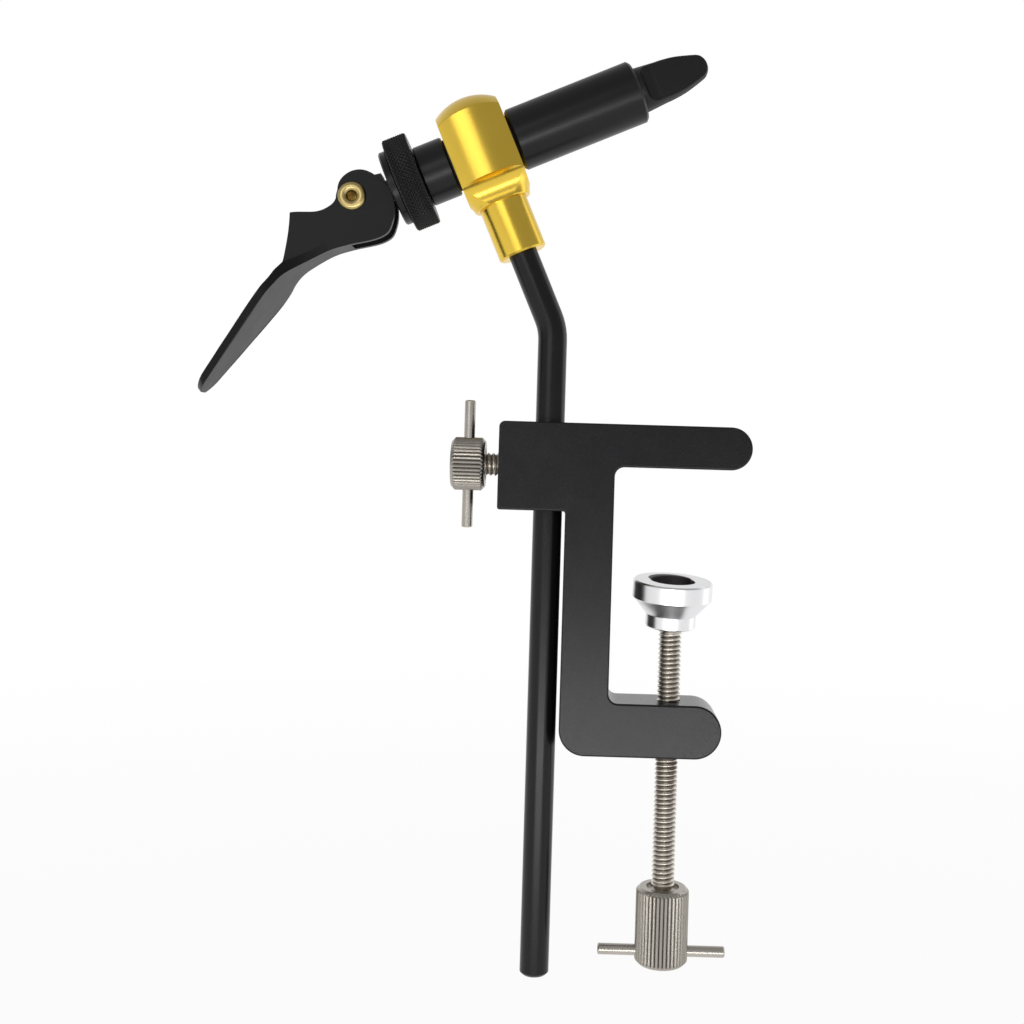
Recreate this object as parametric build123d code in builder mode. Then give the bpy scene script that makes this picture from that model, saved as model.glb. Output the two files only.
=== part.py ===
"""Fly tying vise: a C clamp holds a bent stem, and the stem's head holds a barrel whose jaws a cam lever shuts."""

import os
from math import cos, radians, sin, sqrt, tan

from build123d import *

os.makedirs("parts", exist_ok=True)

# Fits that several pieces share, in millimetres
overrun = 3.0
running_clearance = 0.05
thread_clearance = 0.07
press_clearance = 0.02
seat_gap = 0.1

# Clamp plate, measured from the clamp screw's axis and from the face that sits on the table
plate_thickness = 15.9
plate_edge = 0.5
top_arm_height = 11.6
top_arm_reach = 20.2
block_reach = 48.1
block_height = 23.9
block_corner = 1.6
throat_depth = 16.65
throat_height = 63.5
throat_fillet = 2.6
spine_width = 13.1
slit_fillet = 0.7
lower_arm_height = 14.4
lower_arm_reach = 14.0
heel_radius = 7.0

# Threads of the clamp screw and the stem lock
thread_diameter = 6.35
thread_pitch = 1.27
thread_depth = 0.62

# Clamp screw and its swivel pad
ball_drop = 40.0
ball_diameter = 6.2
ball_neck_diameter = 4.2
screw_shoulder_drop = 44.4
pad_lean_forward = 5.8
pad_lean_right = 1.9
pad_diameter = 21.7
pad_top_rise = 9.5
pad_rim_height = 5.2
pad_edge = 0.4
pad_collar_diameter = 13.8
pad_collar_height = 3.6
pad_collar_drop = 3.4
pad_recess_diameter = 12.2
pad_recess_depth = 5.3
pad_lip_share = 0.81
pad_mouth_diameter = 6.0

# Knurled knobs and the cross bars through them
knob_diameter = 14.5
knob_chamfer = 1.0
knob_groove_count = 40
knob_groove_depth = 0.45
knob_shank_diameter = 5.0
knob_recess_diameter = 9.0
knob_recess_depth = 0.8
tee_bar_diameter = 3.0
tee_bar_length = 34.8
tee_bar_chamfer = 0.3
clamp_knob_drop = 114.6
clamp_knob_length = 20.8
clamp_knob_bar_rise = 3.2
clamp_knob_socket = 13.0
lock_knob_gap = 3.9
lock_knob_length = 9.2
lock_knob_socket = 2.6
lock_shoe_length = 3.5

# Bent stem
stem_diameter = 7.94
stem_offset = 34.6
stem_foot_drop = 139.4
stem_bend_height = 37.42
stem_bend_radius = 16.0
stem_chamfer = 0.7
head_tilt = 23.5

# Gold head on the stem: flat at the barrel's two sides, bulged at front and back, domed on top
neck_start = 21.85
neck_diameter = 13.4
neck_chamfer = 0.5
barrel_height = 29.8
head_width = 17.6
head_depth = 23.4
head_face_radius = 16.0
head_drop = 15.0
head_rise = 15.7
head_edge = 0.4
crown_radius = 15.3
stem_socket = 18.0
scallop_radius = 5.0
scallop_depth = 4.8
scallop_drop = 13.2
skirt_diameter = 15.8
skirt_drop = 8.4
skirt_sag = 1.55
grub_diameter = 4.0
grub_key = 2.0
grub_key_depth = 1.4
grub_rise = 6.5
grub_inset = 0.3

# Barrel, along its own axis from the head's middle
washer_diameter = 14.5
washer_thickness = 0.5
spigot_diameter = 10.0
draw_bar_diameter = 6.0
sleeve_diameter = 17.2
sleeve_front = 45.85
sleeve_edge = 0.7
chamber_start = 11.0
chamber_diameter = 12.2
mouth_length = 6.7
mouth_taper = 5.1
collar_diameter = 16.6
collar_rear = 17.65
collar_edge = 0.4
nut_diameter = 26.0
nut_width = 6.7
nut_gap = 0.2
nut_chamfer = 0.4
nut_groove_count = 64
nut_groove_depth = 0.5
nut_thread_short = 0.5
thrust_diameter = 20.7
thrust_thickness = 2.2
thrust_edge = 0.4

# Draw bar, its eye and its spring
spring_room = 11.7
flange_thickness = 2.0
button_neck_diameter = 4.0
button_neck_length = 2.5
button_diameter = 7.0
button_thickness = 2.0
eye_gap = 1.1
eye_thickness = 6.0
eye_height = 9.4
eye_thread_diameter = 4.0
eye_thread_length = 4.5
spring_wire = 0.9
spring_turns = 7
spring_mean_diameter = 8.6

# Jaws
jaw_gap = 0.05
jaw_opening = 0.8
jaw_rear_gap = 0.5
chamber_play = 0.3
jaw_taper_length = 6.0
jaw_taper_show = 0.8
jaw_flare = 0.4
jaw_height = 11.4
jaw_reach = 20.3
jaw_outline_shares = [(0.30, 1.0), (0.42, 0.975), (0.58, 0.90), (0.71, 0.79), (0.84, 0.66)]
jaw_nose_shares = [(0.94, 0.50), (0.985, 0.28)]
cheek_show = 1.4
cheek_runout = 3.9
cheek_root = 2.9
cheek_tip = 1.7
button_play = 0.4
button_end_play = 0.2
jaw_spring_place = 34.5
jaw_spring_pocket_diameter = 4.4
jaw_spring_pocket_depth = 2.2
jaw_spring_mean_diameter = 3.2
jaw_spring_wire = 0.5
jaw_spring_turns = 3

# Cam lever, from its pivot along and across the barrel
pivot_drop = 37.3
pivot_rise = 1.4
cam_gap = 0.4
cam_rate = 3.6
cam_first_turn = -25.0
cam_last_turn = 50.0
cam_steps = 8
lever_length = 67.2
lever_head_width = 10.0
lever_slot_play = 0.1
lever_slot_end = 0.5
lever_heel_shares = [(0.051, -0.196), (0.006, -0.194), (-0.060, -0.182), (-0.107, -0.175), (-0.159, -0.171)]
lever_sole_shares = [(-0.220, -0.175), (-0.268, -0.181), (-0.335, -0.193)]
lever_underside_share = (-0.402, -0.225)
lever_tip_share = (-0.868, -0.5015)
lever_tip_top_share = (-0.881, -0.476)
lever_topside_share = (-0.447, -0.215)
lever_neck_shares = [(-0.402, -0.187), (-0.364, -0.150), (-0.327, -0.097), (-0.290, -0.036)]
lever_horn_share = (-0.257, 0.031)
lever_saddle_shares = [(-0.192, 0.008), (-0.147, -0.006), (-0.105, -0.005), (-0.076, 0.005)]
lever_crown_shares = [(-0.052, 0.032), (-0.032, 0.066), (-0.0015, 0.087), (0.035, 0.094), (0.073, 0.0856)]
lever_brow_shares = [(0.105, 0.061), (0.126, 0.030)]
lever_flare_shares = [(-0.25, 0.083), (-0.31, 0.100), (-0.37, 0.140), (-0.42, 0.172), (-0.46, 0.182)]
lever_leaf_shares = [(-0.51, 0.176), (-0.575, 0.160), (-0.645, 0.138), (-0.715, 0.119), (-0.768, 0.101)]
lever_end_shares = [(-0.805, 0.090), (-0.83, 0.079), (-0.85, 0.060)]
lever_plan_start_share = -0.17
lever_plan_end_share = -0.881
lever_ledge_shares = [(-1.0, -0.5387), (-0.35, -0.1533), (-0.15, -0.138), (1.0, -0.138), (1.0, 1.0), (-1.0, 1.0)]
pin_diameter = 4.6
pin_head_diameter = 7.8
pin_head_thickness = 1.0
pin_hole_diameter = 2.7
pin_hole_depth = 8.0
pin_edge = 0.45

# Places and directions that follow from the sizes
block_floor = top_arm_height - block_height
lower_arm_floor = -throat_height - lower_arm_height
spine_left = -throat_depth - spine_width
lock_level = (top_arm_height + block_floor) / 2
tilt = radians(head_tilt)
along_neck = Vector(-sin(tilt), 0, cos(tilt))
along_barrel = Vector(cos(tilt), 0, sin(tilt))
stem_apex = Vector(-stem_offset, 0, stem_bend_height)
neck_foot = stem_apex + along_neck * neck_start
barrel_middle = neck_foot + along_neck * barrel_height
pivot = barrel_middle - along_barrel * pivot_drop + along_neck * pivot_rise
barrel_axis = Axis(barrel_middle, along_barrel)
neck_axis = Axis(neck_foot, along_neck)
neck_plane = Plane(origin=neck_foot, x_dir=along_barrel, z_dir=along_neck)
barrel_side = Plane(origin=barrel_middle, x_dir=along_barrel, z_dir=(0, -1, 0))
barrel_top = Plane(origin=barrel_middle, x_dir=along_barrel, z_dir=along_neck)
lever_side = Plane(origin=pivot, x_dir=along_barrel, z_dir=(0, -1, 0))
lever_top = Plane(origin=pivot, x_dir=along_barrel, z_dir=along_neck)
nut_front = -collar_rear - nut_gap
nut_rear = nut_front - nut_width
thrust_rear = nut_rear - thrust_thickness
neck_length = barrel_height - head_drop
shoulder = head_width / 2 + washer_thickness
mouth_start = sleeve_front - mouth_length
mouth_radius = chamber_diameter / 2 + mouth_length * tan(radians(mouth_taper))
flange_start = chamber_start + spring_room
flange_end = flange_start + flange_thickness
flange_diameter = chamber_diameter - 2 * chamber_play
eye_start = eye_gap - thrust_rear
button_start = flange_end + button_neck_length
button_end = button_start + button_thickness
jaw_pivot = (button_start + button_end) / 2
jaw_rear = flange_end + jaw_rear_gap
jaw_shank_diameter = chamber_diameter - 2 * chamber_play
jaw_collar_diameter = jaw_shank_diameter + 2 * jaw_flare
jaw_taper_end = sleeve_front + jaw_taper_show
jaw_taper_start = jaw_taper_end - jaw_taper_length
jaw_tip = sleeve_front + jaw_reach
cheek_start = sleeve_front + cheek_show
cheek_flat_start = cheek_start + cheek_runout
cam_base = pivot_drop + thrust_rear - cam_gap
lever_slot_width = eye_thickness + 2 * lever_slot_play
lever_slot_rear = eye_height / 2 + lever_slot_end


def barrel_cross(place):
    """The plane square to the barrel at a place along it, with Y to its right and the neck's direction upwards."""
    return Plane(origin=barrel_middle + along_barrel * place, x_dir=(0, 1, 0), z_dir=along_barrel)


def ridges(first, last, radius, depth):
    """The corners of a thread's ridges from one end to the other, one pitch apart, as (radius, place)."""
    count = int(abs(last - first) / thread_pitch)
    step = (last - first) / count
    corners = []
    for turn in range(count):
        corners.append((radius - depth, first + step * turn))
        corners.append((radius, first + step * (turn + 0.5)))
    corners.append((radius - depth, last))
    return corners


def cam_point(turn):
    """A point of the cam, an involute, so that each degree of the lever draws the bar by the same amount."""
    angle = radians(turn)
    reach = cam_base + cam_rate * angle
    return (
        reach * cos(angle) - cam_rate * sin(angle),
        -reach * sin(angle) - cam_rate * cos(angle),
    )


def shared(points, size):
    """Points written as shares of a size, in millimetres."""
    return [(x * size, y * size) for x, y in points]


# Clamp body: a C-shaped plate with a block for the stem
with BuildPart() as clamp_body:
    with BuildSketch(Plane.XZ) as plate:
        upper_end = top_arm_reach - top_arm_height / 2
        lower_end = lower_arm_reach - lower_arm_height / 2
        with BuildLine():
            Polyline(
                (upper_end, top_arm_height),
                (-block_reach, top_arm_height),
                (-block_reach, block_floor),
                (spine_left, block_floor),
                (spine_left, lower_arm_floor),
                (lower_end, lower_arm_floor),
            )
            ThreePointArc(
                (lower_end, lower_arm_floor),
                (lower_arm_reach, lower_arm_floor + lower_arm_height / 2),
                (lower_end, -throat_height),
            )
            Polyline(
                (lower_end, -throat_height),
                (-throat_depth, -throat_height),
                (-throat_depth, 0),
                (upper_end, 0),
            )
            ThreePointArc(
                (upper_end, 0),
                (top_arm_reach, top_arm_height / 2),
                (upper_end, top_arm_height),
            )
        make_face()
        rounded = [
            ((-block_reach, top_arm_height), block_corner),
            ((-block_reach, block_floor), slit_fillet),
            ((spine_left, block_floor), slit_fillet),
            ((spine_left, lower_arm_floor), heel_radius),
            ((-throat_depth, -throat_height), throat_fillet),
            ((-throat_depth, 0), throat_fillet),
        ]
        for corner, radius in rounded:
            fillet(plate.vertices().sort_by_distance(corner)[0], radius=radius)
    extrude(amount=plate_thickness / 2, both=True)
    fillet(clamp_body.faces().filter_by(Axis.Y).edges(), radius=plate_edge)
    with Locations((-stem_offset, 0, top_arm_height + overrun)):
        Hole(radius=stem_diameter / 2 + running_clearance, depth=block_height + 2 * overrun)
    with Locations((0, 0, -throat_height + overrun)):
        Hole(radius=thread_diameter / 2 + thread_clearance, depth=lower_arm_height + 2 * overrun)
    with Locations(Plane(origin=(-block_reach - overrun, 0, lock_level), z_dir=(-1, 0, 0))):
        Hole(
            radius=thread_diameter / 2 + thread_clearance,
            depth=block_reach - stem_offset + overrun,
        )
clamp_body.part.label = "clamp_body"
export_step(clamp_body.part, "parts/clamp_body.step")

# Clamp screw: a threaded rod with a ball for the pad at its top and a plain shank in the knob
with BuildPart() as clamp_screw:
    with BuildSketch(Plane.XZ):
        shank_end = -clamp_knob_drop - clamp_knob_socket + seat_gap
        thread_end = -clamp_knob_drop + knob_recess_depth
        with BuildLine():
            Polyline(
                (0, -ball_drop),
                (0, shank_end),
                (knob_shank_diameter / 2, shank_end),
                (knob_shank_diameter / 2, thread_end),
                *ridges(thread_end, -screw_shoulder_drop, thread_diameter / 2, thread_depth),
                (ball_neck_diameter / 2, -screw_shoulder_drop),
                (ball_neck_diameter / 2, -ball_drop),
                close=True,
            )
        make_face()
    revolve(axis=Axis.Z)
    with Locations((0, 0, -ball_drop)):
        Sphere(radius=ball_diameter / 2)
clamp_screw.part.label = "clamp_screw"
export_step(clamp_screw.part, "parts/clamp_screw.step")

# Clamp pad: a disc, a cone and a collar swaged round the ball, tipped on it as it hangs when slack
pad_direction = Vector(
    sin(radians(pad_lean_right)),
    -sin(radians(pad_lean_forward)),
    cos(radians(pad_lean_right)) * cos(radians(pad_lean_forward)),
)
pad_plane = Plane(origin=(0, 0, -ball_drop), x_dir=(1, 0, -pad_direction.X / pad_direction.Z), z_dir=pad_direction)
pad_side = Plane(origin=pad_plane.origin, x_dir=pad_plane.x_dir, z_dir=-pad_plane.y_dir)
with BuildPart() as clamp_pad:
    rim_floor = pad_top_rise - pad_rim_height
    collar_top = -pad_collar_drop + pad_collar_height
    socket_radius = ball_diameter / 2 + running_clearance
    lip_radius = socket_radius * pad_lip_share
    lip_level = -sqrt(socket_radius**2 - lip_radius**2)
    recess_floor = pad_top_rise - pad_recess_depth
    with BuildSketch(pad_side):
        with BuildLine():
            Polyline(
                (0, socket_radius),
                (0, recess_floor),
                (pad_recess_diameter / 2, recess_floor),
                (pad_recess_diameter / 2, pad_top_rise),
                (pad_diameter / 2 - pad_edge, pad_top_rise),
                (pad_diameter / 2, pad_top_rise - pad_edge),
                (pad_diameter / 2, rim_floor + pad_edge),
                (pad_diameter / 2 - pad_edge, rim_floor),
                (pad_collar_diameter / 2 - pad_edge, collar_top),
                (pad_collar_diameter / 2, collar_top - pad_edge),
                (pad_collar_diameter / 2, -pad_collar_drop + pad_edge),
                (pad_collar_diameter / 2 - pad_edge, -pad_collar_drop),
                (pad_mouth_diameter / 2, -pad_collar_drop),
                (lip_radius, lip_level),
            )
            ThreePointArc((lip_radius, lip_level), (socket_radius, 0), (0, socket_radius))
        make_face()
    revolve(axis=Axis(pad_plane.origin, pad_direction))
clamp_pad.part.label = "clamp_pad"
export_step(clamp_pad.part, "parts/clamp_pad.step")


def knurled_knob(plane, length, socket_depth, bar_place):
    """A straight-knurled knob whose mouth faces along the plane, with its shank's socket and the cross bar's hole."""
    with BuildPart() as knob:
        with BuildSketch(Plane(origin=plane.origin, x_dir=plane.x_dir, z_dir=-plane.y_dir)):
            with BuildLine():
                Polyline(
                    (0, 0),
                    (knob_diameter / 2 - knob_chamfer, 0),
                    (knob_diameter / 2, -knob_chamfer),
                    (knob_diameter / 2, knob_chamfer - length),
                    (knob_diameter / 2 - knob_chamfer, -length),
                    (0, -length),
                    close=True,
                )
            make_face()
        revolve(axis=Axis(plane.origin, plane.z_dir))
        with BuildSketch(plane):
            with PolarLocations(knob_diameter / 2, knob_groove_count):
                RegularPolygon(radius=knob_groove_depth, side_count=3, rotation=180)
        extrude(amount=-length, mode=Mode.SUBTRACT)
        with BuildSketch(plane):
            Circle(knob_recess_diameter / 2)
        extrude(amount=-knob_recess_depth, mode=Mode.SUBTRACT)
        with BuildSketch(plane):
            Circle(knob_shank_diameter / 2 + press_clearance)
        extrude(amount=-socket_depth, mode=Mode.SUBTRACT)
        with BuildSketch(Plane(origin=plane.origin - plane.z_dir * bar_place, z_dir=plane.x_dir)):
            Circle(tee_bar_diameter / 2 + press_clearance)
        extrude(amount=knob_diameter, both=True, mode=Mode.SUBTRACT)
    return knob


def tee_bar(middle, direction):
    """A cross bar with broken ends, centred on its knob."""
    with BuildPart() as bar:
        with BuildSketch(Plane(origin=middle, z_dir=direction)):
            Circle(tee_bar_diameter / 2)
        extrude(amount=tee_bar_length / 2, both=True)
        chamfer(bar.edges().filter_by(GeomType.CIRCLE), length=tee_bar_chamfer)
    return bar


# Clamp knob and its cross bar
clamp_knob_plane = Plane(origin=(0, 0, -clamp_knob_drop), x_dir=(1, 0, 0), z_dir=(0, 0, 1))
clamp_bar_place = clamp_knob_length - clamp_knob_bar_rise
clamp_knob = knurled_knob(clamp_knob_plane, clamp_knob_length, clamp_knob_socket, clamp_bar_place)
clamp_knob.part.label = "clamp_knob"
export_step(clamp_knob.part, "parts/clamp_knob.step")
clamp_tee_bar = tee_bar((0, 0, -clamp_knob_drop - clamp_bar_place), (1, 0, 0))
clamp_tee_bar.part.label = "clamp_tee_bar"
export_step(clamp_tee_bar.part, "parts/clamp_tee_bar.step")

# Lock shoe: a soft plug that the lock screw presses on the stem
shoe_tip = -stem_offset - stem_diameter / 2 - running_clearance
with BuildPart() as lock_shoe:
    with BuildSketch(Plane(origin=(shoe_tip, 0, lock_level), z_dir=(-1, 0, 0))):
        Circle(thread_diameter / 2 - thread_clearance)
    extrude(amount=lock_shoe_length)
lock_shoe.part.label = "lock_shoe"
export_step(lock_shoe.part, "parts/lock_shoe.step")

# Lock screw: a threaded shank from the shoe to the knob
lock_knob_face = -block_reach - lock_knob_gap
screw_tip = shoe_tip - lock_shoe_length
lock_side = Plane(origin=(0, 0, lock_level), x_dir=(0, 0, 1), z_dir=(0, 1, 0))
with BuildPart() as lock_screw:
    lock_shank_end = lock_knob_face - lock_knob_socket + seat_gap
    lock_thread_end = lock_knob_face - knob_recess_depth
    with BuildSketch(lock_side):
        with BuildLine():
            Polyline(
                (0, screw_tip),
                *ridges(screw_tip, lock_thread_end, thread_diameter / 2, thread_depth),
                (knob_shank_diameter / 2, lock_thread_end),
                (knob_shank_diameter / 2, lock_shank_end),
                (0, lock_shank_end),
                close=True,
            )
        make_face()
    revolve(axis=Axis((0, 0, lock_level), (1, 0, 0)))
lock_screw.part.label = "lock_screw"
export_step(lock_screw.part, "parts/lock_screw.step")

# Lock knob and its cross bar
lock_knob_plane = Plane(origin=(lock_knob_face, 0, lock_level), x_dir=(0, 0, 1), z_dir=(1, 0, 0))
lock_knob = knurled_knob(lock_knob_plane, lock_knob_length, lock_knob_socket, lock_knob_length / 2)
lock_knob.part.label = "lock_knob"
export_step(lock_knob.part, "parts/lock_knob.step")
lock_tee_bar = tee_bar((lock_knob_face - lock_knob_length / 2, 0, lock_level), (0, 0, 1))
lock_tee_bar.part.label = "lock_tee_bar"
export_step(lock_tee_bar.part, "parts/lock_tee_bar.step")

# Stem: a round post with one bend, whose upper end sits in the head's neck
stem_top = stem_apex + along_neck * (neck_start + stem_socket - seat_gap)
with BuildPart() as stem:
    with BuildLine() as stem_line:
        FilletPolyline(
            (-stem_offset, 0, -stem_foot_drop),
            stem_apex,
            stem_top,
            radius=stem_bend_radius,
        )
    with BuildSketch(Plane(origin=(-stem_offset, 0, -stem_foot_drop), z_dir=(0, 0, 1))):
        Circle(stem_diameter / 2)
    sweep(path=stem_line.line)
    stem_ends = stem.faces().filter_by(GeomType.PLANE)
    chamfer(stem_ends.edges(), length=stem_chamfer)
stem.part.label = "stem"
export_step(stem.part, "parts/stem.step")

# Barrel head: a domed block with flat sides and a turned foot, scalloped front and back, on a round neck
with BuildPart() as barrel_head:
    face_sag = head_face_radius - sqrt(head_face_radius**2 - (head_width / 2) ** 2)
    corner = head_depth / 2 - face_sag
    with BuildSketch(neck_plane.offset(neck_length)):
        with BuildLine():
            ThreePointArc((-head_width / 2, -corner), (0, -head_depth / 2), (head_width / 2, -corner))
            Line((head_width / 2, -corner), (head_width / 2, corner))
            ThreePointArc((head_width / 2, corner), (0, head_depth / 2), (-head_width / 2, corner))
            Line((-head_width / 2, corner), (-head_width / 2, -corner))
        make_face()
    extrude(amount=head_drop + head_rise)
    with BuildSketch(barrel_side):
        crown_foot = (crown_radius, head_rise - crown_radius)
        skirt_foot = (skirt_diameter / 2, -head_drop)
        skirt_top = (crown_radius, -skirt_drop)
        with BuildLine():
            Polyline((0, head_rise), (0, -head_drop), skirt_foot)
            SagittaArc(skirt_foot, skirt_top, skirt_sag)
            Line(skirt_top, crown_foot)
            TangentArc(crown_foot, (0, head_rise), tangent=(0, 1))
        make_face()
    revolve(axis=neck_axis, mode=Mode.INTERSECT)
    head_ends = barrel_head.faces().sort_by(neck_axis)
    fillet(head_ends[-1].edges(), radius=head_edge)
    fillet(barrel_head.faces().sort_by(neck_axis)[0].edges(), radius=head_edge)
    with BuildSketch(neck_plane):
        Circle(neck_diameter / 2)
    extrude(amount=neck_length + head_drop / 2)
    chamfer(barrel_head.edges().filter_by(GeomType.CIRCLE).sort_by(neck_axis)[0], length=neck_chamfer)
    for side in (-1, 1):
        scallop_place = head_depth / 2 - scallop_depth + scallop_radius
        with BuildSketch(barrel_cross(0)):
            with Locations((side * scallop_place, -scallop_drop)):
                Circle(scallop_radius)
        extrude(amount=head_width, both=True, mode=Mode.SUBTRACT)
    with BuildSketch(barrel_cross(0)):
        Circle(spigot_diameter / 2 + running_clearance)
    extrude(amount=head_width, both=True, mode=Mode.SUBTRACT)
    with BuildSketch(neck_plane):
        Circle(stem_diameter / 2 + press_clearance)
    extrude(amount=stem_socket, mode=Mode.SUBTRACT)
    with BuildSketch(Plane(origin=neck_foot + along_neck * grub_rise, x_dir=along_barrel, z_dir=(0, 1, 0))):
        Circle(grub_diameter / 2 + press_clearance)
    extrude(amount=neck_diameter, mode=Mode.SUBTRACT)
barrel_head.part.label = "barrel_head"
export_step(barrel_head.part, "parts/barrel_head.step")

# Grub screw at the back of the neck, with a hexagon key socket
grub_outer = neck_diameter / 2 - grub_inset
with BuildPart() as head_grub_screw:
    grub_face = neck_foot + along_neck * grub_rise + Vector(0, grub_outer, 0)
    grub_length = grub_outer - stem_diameter / 2
    with BuildSketch(Plane(origin=grub_face, x_dir=along_barrel, z_dir=(0, 1, 0))):
        Circle(grub_diameter / 2)
    extrude(amount=-grub_length)
    with BuildSketch(Plane(origin=grub_face, x_dir=along_barrel, z_dir=(0, 1, 0))):
        RegularPolygon(radius=grub_key / 2, side_count=6, major_radius=False)
    extrude(amount=-grub_key_depth, mode=Mode.SUBTRACT)
head_grub_screw.part.label = "head_grub_screw"
export_step(head_grub_screw.part, "parts/head_grub_screw.step")


def turned(corners):
    """A piece turned about the barrel's axis, from its half section as (place, radius) corners."""
    with BuildPart() as piece:
        with BuildSketch(barrel_side):
            with BuildLine():
                Polyline(*corners, close=True)
            make_face()
        revolve(axis=barrel_axis)
    return piece


def ring(front, rear, bore_radius, rim_radius, edge):
    """A ring about the barrel's axis with both its rim edges broken."""
    return turned(
        [
            (front, bore_radius),
            (front, rim_radius - edge),
            (front - edge, rim_radius),
            (rear + edge, rim_radius),
            (rear, rim_radius - edge),
            (rear, bore_radius),
        ]
    )


# Friction washers between the head's sides and the barrel's shoulders
washer_bore = spigot_diameter / 2 + running_clearance
washer_edge = washer_thickness / 4
friction_washer_front = ring(shoulder, head_width / 2, washer_bore, washer_diameter / 2, washer_edge)
friction_washer_front.part.label = "friction_washer_front"
export_step(friction_washer_front.part, "parts/friction_washer_front.step")
friction_washer_rear = ring(-head_width / 2, -shoulder, washer_bore, washer_diameter / 2, washer_edge)
friction_washer_rear.part.label = "friction_washer_rear"
export_step(friction_washer_rear.part, "parts/friction_washer_rear.step")

# Collet sleeve: the front tube with its tapered mouth, and the spigot that goes through the head to the nut
spigot_rear = nut_rear + nut_thread_short
bore_radius = draw_bar_diameter / 2 + running_clearance
collet_sleeve = turned(
    [
        (spigot_rear, bore_radius),
        (spigot_rear, spigot_diameter / 2),
        (shoulder, spigot_diameter / 2),
        (shoulder, sleeve_diameter / 2 - sleeve_edge),
        (shoulder + sleeve_edge, sleeve_diameter / 2),
        (sleeve_front - sleeve_edge, sleeve_diameter / 2),
        (sleeve_front, sleeve_diameter / 2 - sleeve_edge),
        (sleeve_front, mouth_radius),
        (mouth_start, chamber_diameter / 2),
        (chamber_start, chamber_diameter / 2),
        (chamber_start, bore_radius),
    ]
)
collet_sleeve.part.label = "collet_sleeve"
export_step(collet_sleeve.part, "parts/collet_sleeve.step")

# Rear collar, screwed on the spigot behind the head
collar_bore = spigot_diameter / 2 + press_clearance
rear_collar = ring(-shoulder, -collar_rear, collar_bore, collar_diameter / 2, collar_edge)
rear_collar.part.label = "rear_collar"
export_step(rear_collar.part, "parts/rear_collar.step")

# Adjusting nut with a knurled rim
nut_bore = spigot_diameter / 2 + thread_clearance
with BuildPart() as adjusting_nut:
    with BuildSketch(barrel_side):
        with BuildLine():
            Polyline(
                (nut_front, nut_bore),
                (nut_front, nut_diameter / 2 - nut_chamfer),
                (nut_front - nut_chamfer, nut_diameter / 2),
                (nut_rear + nut_chamfer, nut_diameter / 2),
                (nut_rear, nut_diameter / 2 - nut_chamfer),
                (nut_rear, nut_bore),
                close=True,
            )
        make_face()
    revolve(axis=barrel_axis)
    with BuildSketch(barrel_cross(nut_front)):
        with PolarLocations(nut_diameter / 2, nut_groove_count):
            RegularPolygon(radius=nut_groove_depth, side_count=3, rotation=180)
    extrude(amount=-nut_width, mode=Mode.SUBTRACT)
adjusting_nut.part.label = "adjusting_nut"
export_step(adjusting_nut.part, "parts/adjusting_nut.step")

# Thrust washer behind the nut, which the cam bears on
thrust_washer = ring(nut_rear, thrust_rear, bore_radius, thrust_diameter / 2, thrust_edge)
thrust_washer.part.label = "thrust_washer"
export_step(thrust_washer.part, "parts/thrust_washer.step")

# Draw bar: a rod with a spring flange and a button for the jaws in front, and a thread for its eye behind
draw_bar = turned(
    [
        (-eye_start - eye_thread_length, 0),
        (-eye_start - eye_thread_length, eye_thread_diameter / 2),
        (-eye_start, eye_thread_diameter / 2),
        (-eye_start, draw_bar_diameter / 2),
        (flange_start, draw_bar_diameter / 2),
        (flange_start, flange_diameter / 2),
        (flange_end, flange_diameter / 2),
        (flange_end, button_neck_diameter / 2),
        (button_start, button_neck_diameter / 2),
        (button_start, button_diameter / 2),
        (button_end, button_diameter / 2),
        (button_end, 0),
    ]
)
draw_bar.part.label = "draw_bar"
export_step(draw_bar.part, "parts/draw_bar.step")

# Draw eye: the flat eye on the bar's rear end, between the lever's cheeks, with its hole above the bar's axis
with BuildPart() as draw_eye:
    with BuildSketch(lever_side):
        Circle(eye_height / 2)
        eye_reach = pivot_drop - eye_start
        with BuildLine():
            Polyline(
                (0, eye_height / 2),
                (eye_reach, eye_height / 2 - pivot_rise),
                (eye_reach, -eye_height / 2 - pivot_rise),
                (0, -eye_height / 2),
                close=True,
            )
        make_face()
        Circle(pin_diameter / 2 + running_clearance, mode=Mode.SUBTRACT)
    extrude(amount=eye_thickness / 2, both=True)
    with BuildSketch(barrel_cross(-eye_start)):
        Circle(eye_thread_diameter / 2 + press_clearance)
    extrude(amount=-eye_thread_length - seat_gap, mode=Mode.SUBTRACT)
draw_eye.part.label = "draw_eye"
export_step(draw_eye.part, "parts/draw_eye.step")


def coil(foot, direction, length, turns, mean_diameter, wire):
    """A coil spring between two faces, as one wire wound about a line."""
    with BuildPart() as spring:
        with BuildLine() as winding:
            rise = length - wire
            Helix(
                pitch=rise / turns,
                height=rise,
                radius=mean_diameter / 2,
                center=foot + direction * (wire / 2),
                direction=direction,
            )
        with BuildSketch(Plane(origin=winding.line @ 0, z_dir=winding.line % 0)):
            Circle(wire / 2)
        sweep(path=winding.line, is_frenet=True)
    return spring


# Return spring in the sleeve's chamber, behind the draw bar's flange
spring_length = flange_start - chamber_start - 2 * seat_gap
return_spring = coil(
    barrel_middle + along_barrel * (chamber_start + seat_gap),
    along_barrel,
    spring_length,
    spring_turns,
    spring_mean_diameter,
    spring_wire,
)
return_spring.part.label = "return_spring"
export_step(return_spring.part, "parts/return_spring.step")


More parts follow.
